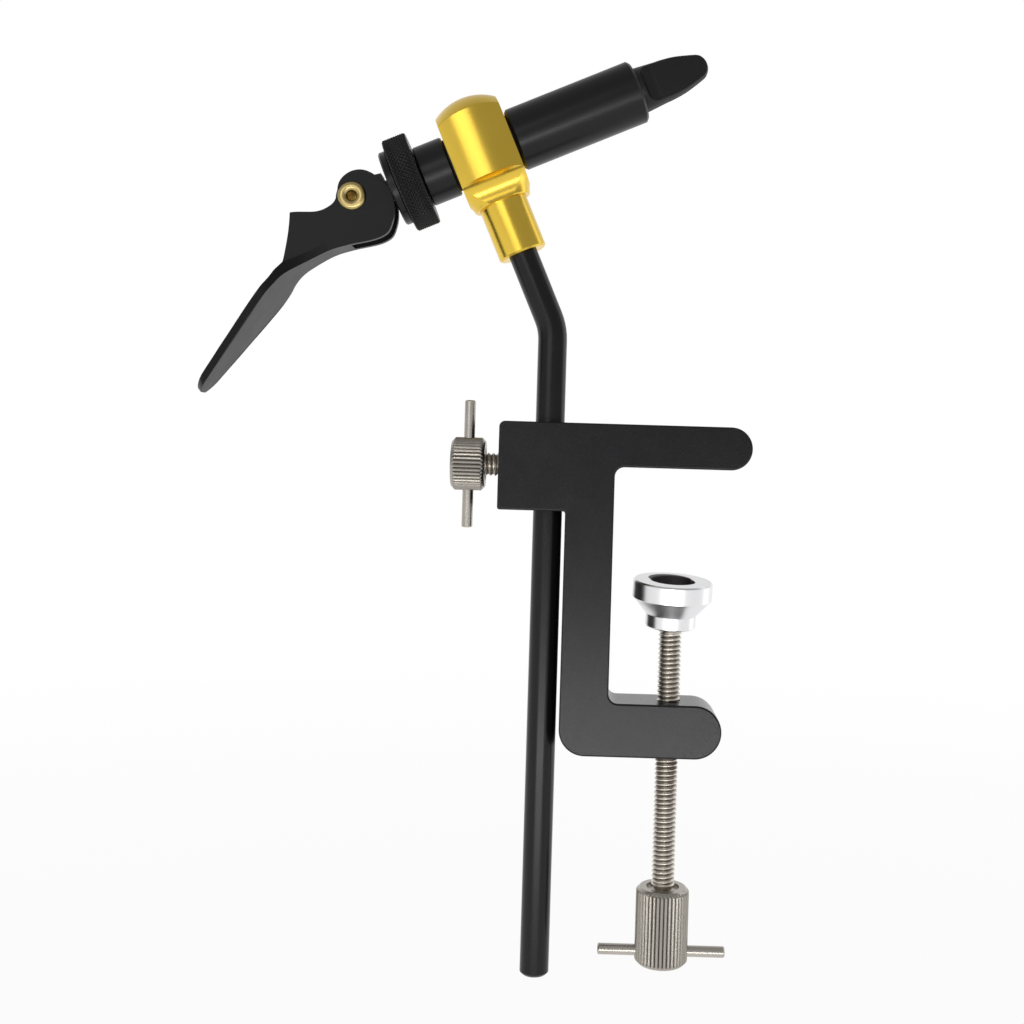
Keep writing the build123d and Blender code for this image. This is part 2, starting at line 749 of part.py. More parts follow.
def jaw(side):
    """One jaw: a bullet turned about the barrel's axis, cut to its own side of the slit and to a flat cheek."""
    nose = jaw_tip - jaw_taper_end
    outline = [(jaw_taper_end + nose * x, jaw_height / 2 * y) for x, y in jaw_outline_shares + jaw_nose_shares]
    tip_gap = jaw_gap + (jaw_tip - jaw_pivot) * tan(radians(jaw_opening))
    with BuildPart() as piece:
        with BuildSketch(barrel_side):
            with BuildLine():
                Polyline(
                    (jaw_tip, 0),
                    (jaw_rear, 0),
                    (jaw_rear, jaw_shank_diameter / 2),
                    (jaw_taper_start, jaw_shank_diameter / 2),
                    (jaw_taper_end, jaw_collar_diameter / 2),
                    outline[0],
                )
                Spline(*outline, (jaw_tip, 0), tangents=[(1, 0), (0, -1)])
            make_face()
        revolve(axis=barrel_axis)
        with BuildSketch(barrel_top):
            with BuildLine():
                Polyline(
                    (cheek_start, side * jaw_height),
                    (jaw_rear, side * jaw_height),
                    (jaw_rear, side * jaw_gap),
                    (jaw_pivot, side * jaw_gap),
                    (jaw_tip, side * tip_gap),
                    (jaw_tip, side * cheek_tip),
                    (cheek_flat_start, side * cheek_root),
                )
                RadiusArc(
                    (cheek_flat_start, side * cheek_root),
                    (cheek_start, side * jaw_height / 2),
                    side * (cheek_flat_start - cheek_start),
                )
                Line((cheek_start, side * jaw_height / 2), (cheek_start, side * jaw_height))
            make_face()
        extrude(amount=jaw_height, both=True, mode=Mode.INTERSECT)
        with BuildSketch(barrel_side):
            pocket_rear = button_start - button_end_play
            pocket_front = button_end + button_end_play
            with BuildLine():
                Polyline(
                    (jaw_rear, 0),
                    (jaw_rear, button_neck_diameter / 2 + button_play),
                    (pocket_rear, button_neck_diameter / 2 + button_play),
                    (pocket_rear, button_diameter / 2 + button_play),
                    (pocket_front, button_diameter / 2 + button_play),
                    (pocket_front, 0),
                    close=True,
                )
            make_face()
        revolve(axis=barrel_axis, mode=Mode.SUBTRACT)
        with BuildSketch(Plane(origin=barrel_middle + along_barrel * jaw_spring_place, z_dir=(0, side, 0))):
            Circle(jaw_spring_pocket_diameter / 2)
        extrude(amount=jaw_spring_pocket_depth, mode=Mode.SUBTRACT)
    return piece


# Jaws, one on each side of the slit
jaw_near = jaw(-1)
jaw_near.part.label = "jaw_near"
export_step(jaw_near.part, "parts/jaw_near.step")
jaw_far = jaw(1)
jaw_far.part.label = "jaw_far"
export_step(jaw_far.part, "parts/jaw_far.step")

# Jaw spring, in a pocket of each jaw
jaw_spring_length = 2 * (jaw_spring_pocket_depth - seat_gap)
jaw_spring = coil(
    barrel_middle + along_barrel * jaw_spring_place - Vector(0, jaw_spring_length / 2, 0),
    Vector(0, 1, 0),
    jaw_spring_length,
    jaw_spring_turns,
    jaw_spring_mean_diameter,
    jaw_spring_wire,
)
jaw_spring.part.label = "jaw_spring"
export_step(jaw_spring.part, "parts/jaw_spring.step")

# Cam lever: two cam cheeks, a horned neck and a thin leaf-shaped paddle that flares out from the neck's foot
with BuildPart() as cam_lever:
    turns = [
        cam_first_turn + (cam_last_turn - cam_first_turn) * step / cam_steps for step in range(cam_steps + 1)
    ]
    cam = [cam_point(turn) for turn in turns]
    underside, tip, tip_top, topside, horn = shared(
        [lever_underside_share, lever_tip_share, lever_tip_top_share, lever_topside_share, lever_horn_share],
        lever_length,
    )
    heel = shared(lever_heel_shares + lever_sole_shares, lever_length)
    neck = shared(lever_neck_shares, lever_length)
    saddle = shared(lever_saddle_shares, lever_length)
    crown = shared(lever_crown_shares + lever_brow_shares, lever_length)
    with BuildSketch(lever_side):
        with BuildLine():
            Spline(*cam, *heel, underside)
            Polyline(underside, tip, tip_top, topside)
            Spline(topside, *neck, horn)
            Spline(horn, *saddle, *crown, cam[0])
        make_face()
    extrude(amount=lever_length, both=True)
    plan = shared(lever_flare_shares + lever_leaf_shares + lever_end_shares, lever_length)
    plan_start = (lever_plan_start_share * lever_length, lever_head_width / 2)
    plan_end = (lever_plan_end_share * lever_length, 0)
    with BuildSketch(lever_top):
        with BuildLine():
            Line((lever_length, 0), (lever_length, lever_head_width / 2))
            Line((lever_length, lever_head_width / 2), plan_start)
            Spline(plan_start, *plan, plan_end)
            Line(plan_end, (lever_length, 0))
        make_face()
        mirror(about=Plane(origin=pivot, x_dir=along_barrel, z_dir=(0, 1, 0)))
    extrude(amount=lever_length, both=True, mode=Mode.INTERSECT)
    for side in (-1, 1):
        with BuildSketch(lever_side.offset(side * lever_head_width / 2)):
            with BuildLine():
                Polyline(*shared(lever_ledge_shares, lever_length), close=True)
            make_face()
        extrude(amount=side * lever_length, mode=Mode.SUBTRACT)
    with BuildSketch(lever_top):
        with Locations(((lever_length - lever_slot_rear) / 2, 0)):
            Rectangle(lever_length + lever_slot_rear, lever_slot_width)
    extrude(amount=lever_length, both=True, mode=Mode.SUBTRACT)
    with BuildSketch(lever_side):
        Circle(pin_diameter / 2 + press_clearance)
    extrude(amount=lever_head_width, both=True, mode=Mode.SUBTRACT)
cam_lever.part.label = "cam_lever"
export_step(cam_lever.part, "parts/cam_lever.step")

# Lever pin: a brass rivet with a rounded head at each cheek, hollow at its near end
with BuildPart() as lever_pin:
    with BuildSketch(lever_side):
        Circle(pin_diameter / 2)
    extrude(amount=lever_head_width / 2, both=True)
    for side in (-1, 1):
        with BuildSketch(lever_side.offset(side * lever_head_width / 2)):
            Circle(pin_head_diameter / 2)
        extrude(amount=side * pin_head_thickness)
    with BuildSketch(lever_side.offset(lever_head_width / 2 + pin_head_thickness)):
        Circle(pin_hole_diameter / 2)
    extrude(amount=-pin_hole_depth, mode=Mode.SUBTRACT)
    rims = lever_pin.faces().filter_by(Axis.Y).sort_by(Axis.Y)
    fillet(rims[0].edges() + rims[-1].edges(), radius=pin_edge)
lever_pin.part.label = "lever_pin"
export_step(lever_pin.part, "parts/lever_pin.step")
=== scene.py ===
# %% [markdown]
# # A fly tying vise in a photo studio
# A fly tying vise holds a fish hook by its bend while thread and feathers are wound on it. A C clamp grips
# the table, a bent stem rises from it, and a gold head on the stem carries a black barrel with two jaws.
# The solid model comes in as a fixed frame. Here each piece gets its finish, and the pieces whose surface is
# too fine for the solid model, such as threads and knurls, are worked out anew as arrays of points.

# %% Load the frame
from math import cos, pi, radians, sin

import bpy
import numpy as np
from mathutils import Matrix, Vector


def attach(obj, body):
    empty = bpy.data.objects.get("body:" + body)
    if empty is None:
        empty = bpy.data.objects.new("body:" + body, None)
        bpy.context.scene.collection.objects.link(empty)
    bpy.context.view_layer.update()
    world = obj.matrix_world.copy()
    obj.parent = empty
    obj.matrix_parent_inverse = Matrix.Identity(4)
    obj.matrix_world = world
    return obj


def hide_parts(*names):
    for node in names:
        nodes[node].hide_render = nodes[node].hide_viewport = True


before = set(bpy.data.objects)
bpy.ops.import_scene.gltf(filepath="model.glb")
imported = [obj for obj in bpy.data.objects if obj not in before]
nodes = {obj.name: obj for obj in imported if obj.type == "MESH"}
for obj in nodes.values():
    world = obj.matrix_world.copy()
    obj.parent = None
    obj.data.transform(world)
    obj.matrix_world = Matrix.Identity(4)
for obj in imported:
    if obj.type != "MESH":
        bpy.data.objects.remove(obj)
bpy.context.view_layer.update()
scene = bpy.context.scene
print("solid pieces:", len(nodes))

# %% [markdown]
# ## The camera
# The picture was taken from a little over a third of a metre, about level with the table face of the clamp, so
# the barrel is seen slightly from below and the pad slightly from above. The line of sight passes right of the
# picture's middle and above it. Turning the camera would make upright lines lean together, so a lens shift
# gives the same cropping. A small roll lets the vise stand askew, as it does in the picture.

# %% Camera
lens_pixels, picture_pixels = 1300.0, 1024.0
distance, sight_x, sight_z = 0.3566, -0.0276, 0.0050
look_level, camera_roll = radians(90.0), radians(-1.7)
view = bpy.data.cameras.new("studio_camera")
view.sensor_width = 36.0
view.lens = lens_pixels / picture_pixels * view.sensor_width
view.shift_x, view.shift_y = -0.0615, -0.0632
view.clip_start = 0.01
camera = bpy.data.objects.new("studio_camera", view)
camera.location = (sight_x, -distance, sight_z)
camera.rotation_euler = (look_level, camera_roll, 0.0)
scene.collection.objects.link(camera)
scene.camera = camera
print("lens:", round(view.lens, 2), "mm")

# %% [markdown]
# ## Shader maths as plain sums
# A material is a small network of nodes. Writing it as nodes and links hides the formula, so one class wraps
# an output socket and lets Python's own signs add the Math nodes. `1 - grain * 0.3` then reads as it works.


# %% Sockets that can be added and multiplied
class Value:
    """One output socket of a material. A sum or product with it adds the Math node that works it out."""

    def __init__(self, finish, socket):
        self.finish = finish
        self.socket = socket

    def math(self, operation, *others):
        inputs = {f"at{i}": v for i, v in enumerate((self, *others))}
        return self.finish.node("ShaderNodeMath", {"operation": operation}, **inputs)

    def __add__(self, other):
        return self.math("ADD", other)

    __radd__ = __add__

    def __rsub__(self, other):
        return self.finish.node("ShaderNodeMath", {"operation": "SUBTRACT"}, at0=other, at1=self)

    def __mul__(self, other):
        return self.math("MULTIPLY", other)

    def __pow__(self, other):
        return self.math("POWER", other)

    def sine(self):
        return self.math("SINE")

    def over(self, edge, width):
        """0 below the edge, 1 above it, with a soft step of the given width between."""
        settings = {"interpolation_type": "SMOOTHSTEP"}
        low, high = edge - width / 2, edge + width / 2
        return self.finish.node("ShaderNodeMapRange", settings, at0=self, at1=low, at2=high)


class Finish:
    """A material, or a world, whose nodes all come from one method."""

    def __init__(self, name, world=False):
        self.material = (bpy.data.worlds if world else bpy.data.materials).new(name)
        self.material.use_nodes = True
        self.tree = self.material.node_tree
        self.tree.nodes.clear()

    def node(self, kind, settings=None, out=0, **sockets):
        """A node of a kind. Its settings go first, then the value or link of each socket.
        A socket goes by its name, or by its number as at0, at1. Only an output node gives back nothing."""
        made = self.tree.nodes.new(kind)
        for key, value in (settings or {}).items():
            setattr(made, key, value)
        for key, value in sockets.items():
            number = key[2:] if key.startswith("at") and key[2:].isdigit() else None
            socket = made.inputs[int(number)] if number else made.inputs[key.replace("_", " ")]
            if isinstance(value, Value):
                self.tree.links.new(value.socket, socket)
            else:
                socket.default_value = value
        return Value(self, made.outputs[out]) if made.outputs else None

    def place(self, turn=(0, 0, 0), shift=(0, 0, 0)):
        """Object coordinates, shifted and then turned, so that a pattern can follow a leaning piece."""
        raw = self.node("ShaderNodeTexCoord", out="Object")
        moved = self.node("ShaderNodeVectorMath", {"operation": "SUBTRACT"}, at0=raw, at1=shift)
        settings = {"rotation_type": "EULER_XYZ"}
        return self.node("ShaderNodeVectorRotate", settings, Vector=moved, Rotation=turn)

    def stretch(self, vector, scales):
        """The vector times a scale for each axis. A pattern is drawn out along the axis of the least scale."""
        return self.node("ShaderNodeVectorMath", {"operation": "MULTIPLY"}, at0=vector, at1=scales)

    def part(self, vector, axis):
        return self.node("ShaderNodeSeparateXYZ", out=axis, Vector=vector)

    def crest(self):
        """The crest attribute of a made piece: 1 on its ridges and 0 on the floor of its grooves."""
        return self.node("ShaderNodeAttribute", {"attribute_name": "crest"}, out="Fac")

    def noise(self, vector, scale, detail=2.0, rough=0.5):
        return self.node("ShaderNodeTexNoise", Vector=vector, Scale=scale, Detail=detail, Roughness=rough)

    def mix(self, factor, first, second):
        # A Mix node for colours has its factor at input 0, its colours at 6 and 7, and its result at output 2.
        return self.node("ShaderNodeMix", {"data_type": "RGBA"}, out=2, at0=factor, at6=first, at7=second)

    def bump(self, height, distance, strength):
        return self.node("ShaderNodeBump", Height=height, Distance=distance, Strength=strength)

    def surface(self, **sockets):
        return self.ends(self.node("ShaderNodeBsdfPrincipled", **sockets))

    def ends(self, shader, kind="ShaderNodeOutputMaterial"):
        self.node(kind, Surface=shader)
        return self.material

    def ray(self, *kinds):
        """1 for a ray of any of these kinds, such as Camera or Glossy, and 0 for light falling on things."""
        return sum(self.node("ShaderNodeLightPath", out=f"Is {kind} Ray") for kind in kinds)


def rgb(red, green, blue):
    return (red, green, blue, 1.0)


# %% [markdown]
# ## Where the leaning pieces lie
# The stem bends at its apex and leans back from there. The head sits on the leaning end, and the barrel
# crosses the head square to it. Patterns and made pieces need these places, so they are worked out once.

# %% Places
tilt = radians(23.5)
apex = Vector((-0.0346, 0.0, 0.03742))
along_neck = Vector((-sin(tilt), 0.0, cos(tilt)))
along_barrel = Vector((cos(tilt), 0.0, sin(tilt)))
barrel_rise, pivot_back, pivot_rise = 0.05165, 0.0373, 0.0014
barrel_middle = apex + along_neck * barrel_rise
lever_pivot = barrel_middle - along_barrel * pivot_back + along_neck * pivot_rise
ball_level = -0.0400
ball_centre, lock_origin = (0.0, 0.0, ball_level), (0.0, 0.0, -0.00035)
pad_nod, pad_sway = radians(5.8), radians(1.9)
origin = (0.0, 0.0, 0.0)
x_axis, y_axis, z_axis = (1.0, 0.0, 0.0), (0.0, 1.0, 0.0), (0.0, 0.0, 1.0)
print("barrel crosses the head at", [round(c, 4) for c in barrel_middle])

# %% [markdown]
# ## Black coats
# Several blacks meet on this vise, and they differ in gloss more than in colour. The clamp has a satin powder
# coat, whose grain is the fused powder itself. The stem and the barrel are smooth and glossy. The lever is a
# painted casting, so its surface rolls a little and its paddle has a rough edge. The jaws are blackened steel
# with the marks of grinding, the nut's knurl is rubbed at its crests, and the thin washers are dark fibre.
# Pictures wrapped round the pieces could show this too, but noise in object coordinates leaves no seams.

# %% Black finishes
coat_specular, cast_specular = 0.3, 0.2
leaning = (0.0, tilt, 0.0)


def powder_coat():
    f = Finish("black_powder_coat")
    p = f.place()
    grain = f.noise(p, scale=2600.0, detail=3.0, rough=0.6)
    cloud = f.noise(p, scale=120.0)
    speck = f.noise(p, scale=5200.0, detail=1.0).over(edge=0.70, width=0.08)
    colour = f.mix(cloud, rgb(0.008, 0.008, 0.0095), rgb(0.014, 0.014, 0.0160))
    colour = f.mix(speck * 0.5, colour, rgb(0.05, 0.05, 0.053))
    return f.surface(
        Base_Color=colour,
        Roughness=0.15 + cloud * 0.05 + grain * 0.10,
        Normal=f.bump(grain, distance=0.00006, strength=0.55),
        Specular_IOR_Level=coat_specular,
    )


def gloss_black(name, smooth, streak_turn):
    """Gloss paint with faint wiping streaks along the piece and a slow change of gloss."""
    f = Finish(name)
    p = f.place(turn=streak_turn)
    slow = f.noise(p, scale=60.0)
    streak = f.noise(f.stretch(p, (2200.0, 2200.0, 60.0)), scale=1.0)
    return f.surface(
        Base_Color=f.mix(slow, rgb(0.0045, 0.0045, 0.0055), rgb(0.008, 0.008, 0.009)),
        Roughness=smooth + slow * 0.06 + streak * 0.06,
        Normal=f.bump(streak, distance=0.00001, strength=0.35),
        Specular_IOR_Level=coat_specular,
    )


def cast_black():
    """Painted casting: a gently rolling surface, with the paddle's edge left rough. The paddle narrows towards
    its tip, so its edge is where |Y| plus a share of the way behind the pivot passes a limit."""
    f = Finish("black_satin_cast")
    p = f.place(turn=leaning, shift=tuple(lever_pivot))
    roll = f.noise(p, scale=140.0)
    pit = f.noise(p, scale=1500.0, detail=3.0, rough=0.65)
    narrowing = 0.278
    behind = 0 - f.part(p, "X")
    paddle = behind.over(edge=0.024, width=0.010)
    rim = (f.part(p, "Y").math("ABSOLUTE") + behind * narrowing).over(edge=0.0204, width=0.0006)
    rough_edge = paddle * rim
    return f.surface(
        Base_Color=f.mix(roll, rgb(0.006, 0.006, 0.007), rgb(0.011, 0.011, 0.012)),
        Roughness=0.30 + roll * 0.10 + pit * 0.08 + rough_edge * 0.25,
        Normal=f.bump(roll * 0.35 + pit * (0.08 + rough_edge * 0.9), distance=0.00016, strength=0.5),
        Specular_IOR_Level=cast_specular,
    )


def jaw_black():
    """Blackened steel ground along the jaw."""
    f = Finish("black_jaw_steel")
    p = f.place(turn=leaning, shift=tuple(barrel_middle))
    scratch = f.noise(f.stretch(p, (90.0, 2600.0, 2600.0)), scale=1.0, detail=3.0, rough=0.6)
    slow = f.noise(p, scale=110.0)
    return f.surface(
        Base_Color=f.mix(slow, rgb(0.007, 0.007, 0.008), rgb(0.014, 0.014, 0.015)),
        Roughness=0.28 + scratch * 0.14 + slow * 0.08,
        Normal=f.bump(scratch, distance=0.00002, strength=0.4),
        Specular_IOR_Level=coat_specular,
    )


def knurl_black():
    """Black knurl whose crests are rubbed a little brighter than its grooves."""
    f = Finish("black_knurl")
    p = f.place()
    crest = f.crest()
    wear = f.noise(p, scale=900.0)
    return f.surface(
        Base_Color=f.mix(crest * wear, rgb(0.004, 0.004, 0.005), rgb(0.024, 0.024, 0.026)),
        Roughness=0.46 - crest * 0.14 + wear * 0.08,
        Normal=f.bump(f.noise(p, scale=3000.0), distance=0.00003, strength=0.3),
        Specular_IOR_Level=coat_specular,
    )


def fibre():
    f = Finish("dark_fibre")
    p = f.place()
    weave = f.noise(p, scale=1800.0, detail=3.0)
    return f.surface(
        Base_Color=f.mix(weave, rgb(0.012, 0.011, 0.010), rgb(0.030, 0.027, 0.024)),
        Roughness=0.6 + weave * 0.2,
        Normal=f.bump(weave, distance=0.00004, strength=0.4),
    )


# %% [markdown]
# ## Bright metals
# The head is gold anodised aluminium, turned on a lathe, so hair-fine rings run round its neck. The knobs,
# cross bars and screws are nickel plated, warmer than chrome, and dark in their grooves. The pad is bright.
# Metal shows mostly what it reflects, so the colours stay plain and the turning marks are a slight bump.


# %% Gold, nickel, chrome, brass and steel
def gold():
    f = Finish("gold_anodised")
    p = f.place(turn=leaning, shift=tuple(apex))
    radians_per_metre, wandering = 21000.0, 9.0
    ring = (f.part(p, "Z") * radians_per_metre + f.noise(p, scale=220.0) * wandering).sine()
    cloud = f.noise(p, scale=90.0)
    return f.surface(
        Base_Color=f.mix(cloud, rgb(0.78, 0.52, 0.060), rgb(0.84, 0.59, 0.090)),
        Metallic=1.0,
        Roughness=0.21 + cloud * 0.06 + ring * 0.015,
        Normal=f.bump(ring, distance=0.000006, strength=0.25),
    )


def nickel(name, painted_light_level, grooved):
    """Nickel plate. Its colour times the painted light level gives painted light above 1 and painted shade
    below 1.
    Where the piece has a crest attribute, its grooves are coloured dark brown and made rougher."""
    f = Finish(name)
    p = f.place()
    cloud = f.noise(p, scale=150.0, detail=3.0)
    fine = f.noise(p, scale=2600.0)
    # The painted light level scales the nickel colour: painted light on a piece above 1, painted shade below
    # 1.
    dull = rgb(0.56 * painted_light_level, 0.52 * painted_light_level, 0.46 * painted_light_level)
    clean = rgb(0.68 * painted_light_level, 0.64 * painted_light_level, 0.58 * painted_light_level)
    colour = f.mix(cloud, dull, clean)
    rough = 0.22 + cloud * 0.08 + fine * 0.03
    if grooved:
        dark = (1 - f.crest()) ** 1.3
        colour = f.mix(dark * 0.92, colour, rgb(0.08, 0.066, 0.050))
        rough = rough + dark * 0.25
    return f.surface(
        Base_Color=colour,
        Metallic=1.0,
        Roughness=rough,
        Normal=f.bump(fine, distance=0.000002, strength=0.2),
    )


def bright_pad():
    """Bright turned metal with rings round the pad's own axis. The floor of its recess is rougher and painted
    dark as shade.
    """
    f = Finish("bright_chrome")
    p = f.place(turn=(pad_nod, pad_sway, 0.0), shift=ball_centre)
    x, y, z = (f.part(p, axis) for axis in "XYZ")
    away = (x * x + y * y) ** 0.5
    radians_per_metre, wandering = 24000.0, 6.0
    ring = ((away + z) * radians_per_metre + f.noise(p, scale=300.0) * wandering).sine()
    # Painted shade: the floor of the recess is coloured dark to stand for the shade inside it.
    inside = (1 - away.over(edge=0.0060, width=0.0004)) * z.over(edge=0.0036, width=0.0008)
    return f.surface(
        Base_Color=f.mix(inside, rgb(0.84, 0.84, 0.85), rgb(0.11, 0.10, 0.10)),
        Metallic=1.0,
        Roughness=0.30 + ring * 0.03 + inside * 0.25,
        Normal=f.bump(ring, distance=0.000004, strength=0.25),
    )


def brass():
    f = Finish("brass")
    p = f.place()
    cloud = f.noise(p, scale=420.0, detail=3.0)
    return f.surface(
        Base_Color=f.mix(cloud, rgb(0.42, 0.32, 0.13), rgb(0.58, 0.46, 0.20)),
        Metallic=1.0,
        Roughness=0.24 + cloud * 0.12,
        Normal=f.bump(cloud, distance=0.00003, strength=0.2),
    )


def steel():
    f = Finish("plain_steel")
    p = f.place()
    cloud = f.noise(p, scale=500.0, detail=3.0)
    return f.surface(
        Base_Color=f.mix(cloud, rgb(0.30, 0.30, 0.31), rgb(0.42, 0.42, 0.43)),
        Metallic=1.0,
        Roughness=0.30 + cloud * 0.12,
        Normal=f.bump(cloud, distance=0.00001, strength=0.2),
    )


# %% [markdown]
# ## Which piece wears what
# Most pieces keep the shape of the solid model and only need a finish. A table of names shows at a glance what
# the vise is made of. The pieces that are missing from it are made anew further down.

# %% Finishes on the solid pieces
upright = (0.0, 0.0, 0.0)
lying = (0.0, tilt - pi / 2, 0.0)
finishes = {
    "black_powder_coat": powder_coat(),
    "stem_gloss": gloss_black("stem_gloss", smooth=0.20, streak_turn=upright),
    "barrel_gloss": gloss_black("barrel_gloss", smooth=0.24, streak_turn=lying),
    "black_satin_cast": cast_black(),
    "black_jaw_steel": jaw_black(),
    "black_knurl": knurl_black(),
    "dark_fibre": fibre(),
    "gold_anodised": gold(),
    # The three nickel copies differ in painted light level: painted light on the threads, painted shade on the
    # cross bars and knobs.
    "nickel_smooth": nickel("nickel_smooth", painted_light_level=0.8, grooved=False),
    "nickel_thread": nickel("nickel_thread", painted_light_level=1.25, grooved=True),
    "nickel_knurl": nickel("nickel_knurl", painted_light_level=0.66, grooved=True),
    "bright_chrome": bright_pad(),
    "brass": brass(),
    "plain_steel": steel(),
}
wears = {
    "clamp_body": "black_powder_coat",
    "stem": "stem_gloss",
    "collet_sleeve": "barrel_gloss",
    "rear_collar": "barrel_gloss",
    "thrust_washer": "barrel_gloss",
    "cam_lever": "black_satin_cast",
    "jaw_near": "black_jaw_steel",
    "jaw_far": "black_jaw_steel",
    "friction_washer_front": "dark_fibre",
    "friction_washer_rear": "dark_fibre",
    "barrel_head": "gold_anodised",
    "clamp_tee_bar": "nickel_smooth",
    "lock_tee_bar": "nickel_smooth",
    "lock_shoe": "brass",
    "draw_bar": "black_jaw_steel",
    "draw_eye": "black_jaw_steel",
    "head_grub_screw": "plain_steel",
    "return_spring": "plain_steel",
    "jaw_spring": "plain_steel",
}
for node, finish in wears.items():
    nodes[node].data.materials.clear()
    nodes[node].data.materials.append(finishes[finish])
print("finishes:", len(finishes), "on", len(wears), "solid pieces")

# %% [markdown]
# ## Pieces turned on a lathe, with a pattern in their skin
# A thread, a straight knurl and a diamond knurl are all a radius that depends on the angle and on the place
# along an axis. So one function makes every such piece: it takes the places, and the radius as a whole array
# over place and angle, and closes both ends with a single point.

# %% Lathe with a pattern
sharp_angle = radians(38.0)
end_crest = 0.5


def lathe(name, place, radius, crest, origin, axis, side):
    """Point (i, j) is origin + axis * place[i] + radius[i, j] * (side * cos(angle j) + third * sin(angle j)).
    The first and last rows are joined to one point each, so that the skin is closed. A half section that
    runs backwards along the axis sweeps a negative volume, so it is turned round to make the faces point
    outwards."""
    rows, turns = radius.shape
    swept = np.sum((radius[1:] + radius[:-1]) ** 2 * np.diff(place)[:, None])
    if swept < 0:
        place, radius, crest = place[::-1], radius[::-1], crest[::-1]
    axis, side = np.array(axis), np.array(side)
    third = np.cross(axis, side)
    angle = np.arange(turns) * 2 * pi / turns
    round_about = np.cos(angle)[:, None] * side + np.sin(angle)[:, None] * third
    skin = np.array(origin) + place[:, None, None] * axis + radius[:, :, None] * round_about
    ends = np.array(origin) + np.array([place[0], place[-1]])[:, None] * axis
    points = np.concatenate([skin.reshape(-1, 3), ends])
    row, turn = np.meshgrid(np.arange(rows - 1), np.arange(turns), indexing="ij")
    after = (turn + 1) % turns
    this_row, next_row = row * turns, (row + 1) * turns
    quads = np.stack([this_row + turn, this_row + after, next_row + after, next_row + turn], -1)
    first, last = rows * turns, rows * turns + 1
    around = np.arange(turns)
    beside = (around + 1) % turns
    foot = np.stack([np.full(turns, first), beside, around], -1)
    top = np.stack([np.full(turns, last), (rows - 1) * turns + around, (rows - 1) * turns + beside], -1)
    mesh = bpy.data.meshes.new(name)
    mesh.from_pydata(points, [], quads.reshape(-1, 4).tolist() + foot.tolist() + top.tolist())
    mesh.polygons.foreach_set("use_smooth", np.ones(len(mesh.polygons), dtype=bool))
    mesh.set_sharp_from_angle(angle=sharp_angle)
    skin_crest = np.concatenate([crest.reshape(-1), [end_crest, end_crest]]).astype(np.float32)
    mesh.attributes.new("crest", "FLOAT", "POINT").data.foreach_set("value", skin_crest)
    made = bpy.data.objects.new(name, mesh)
    scene.collection.objects.link(made)
    return made


def zigzag(phase):
    """0 at whole numbers and 1 halfway between them."""
    return 1 - np.abs(2 * (phase - np.floor(phase)) - 1)


def profile(corners, step):
    """The corners of a half section, with straight runs between them cut to steps, as places and radii."""
    corners = np.array(corners)
    runs = np.linalg.norm(np.diff(corners, axis=0), axis=1)
    counts = np.maximum(1, np.ceil(runs / step)).astype(int)
    pieces = [np.linspace(a, b, n, endpoint=False) for a, b, n in zip(corners[:-1], corners[1:], counts)]
    line = np.concatenate(pieces + [corners[-1:]])
    return line[:, 0], line[:, 1]


def plain_lathe(name, place, base, turns, origin, axis, side):
    """A turned piece without a pattern: its radius and its crest are the same at every angle."""
    radius = np.repeat(base[:, None], turns, axis=1)
    return lathe(name, place, radius, np.ones_like(radius), origin, axis, side)


# %% [markdown]
# ## Threads
# The clamp rod has twenty threads to the inch. On the real rod one groove winds from end to end, so the ridge
# climbs by one pitch in each turn: the radius at a place and an angle depends on place / pitch - angle / turn.
# A V swept along a helix would do too, but a formula for the radius closes neatly at both ends.

# %% Clamp screw and lock screw
pitch = 0.00127
thread_radius, thread_depth = 0.003175, 0.00062
crest_flat = 1.18
run_out = 0.4 * pitch
pitch_steps, thread_turns = 10, 48
hair = 1e-6
core_radius, tip_radius = 0.0025, 0.0010


def screw(name, corners, first, last, origin, axis, side):
    """A screw's skin: its half section, less a V groove that winds between two places."""
    place, base = profile(corners, pitch / pitch_steps)
    angle = np.arange(thread_turns) / thread_turns
    phase = place[:, None] / pitch - angle[None, :]
    ridge = np.minimum(1.0, zigzag(phase) * crest_flat)
    low, high = min(first, last), max(first, last)
    inside = np.clip(np.minimum(place - low, high - place) / run_out, 0, 1)
    on_thread = (inside * (base > thread_radius - hair))[:, None]
    radius = base[:, None] - thread_depth * (1 - ridge) * on_thread
    crest = 1 - (1 - ridge) * on_thread
    return lathe(name, place, radius, crest, origin, axis, side)


ball_radius, ball_sweep, ball_steps = 0.0031, 138.0, 22
swing = np.radians(np.linspace(0.0, ball_sweep, ball_steps))
ball_arc = [(ball_level + ball_radius * cos(a), ball_radius * sin(a)) for a in swing]
clamp_rod_neck = [(-0.0437, 0.0021), (-0.0444, 0.0028)]
clamp_rod_thread = [(-0.0449, thread_radius), (-0.1138, thread_radius)]
clamp_rod_tail = [(-0.1142, core_radius), (-0.1274, core_radius), (-0.1275, tip_radius)]
clamp_rod = screw(
    "clamp_screw_thread",
    ball_arc[1:] + clamp_rod_neck + clamp_rod_thread + clamp_rod_tail,
    first=-0.0446,
    last=-0.1138,
    origin=origin,
    axis=z_axis,
    side=x_axis,
)
lock_rod_front = [(-0.0422, tip_radius), (-0.0422, 0.0026)]
lock_rod_thread = [(-0.0425, thread_radius), (-0.0527, thread_radius)]
lock_rod_tail = [(-0.0528, core_radius), (-0.0545, core_radius), (-0.0545, tip_radius)]
lock_rod = screw(
    "lock_screw_thread",
    lock_rod_front + lock_rod_thread + lock_rod_tail,
    first=-0.0423,
    last=-0.0528,
    origin=lock_origin,
    axis=x_axis,
    side=y_axis,
)
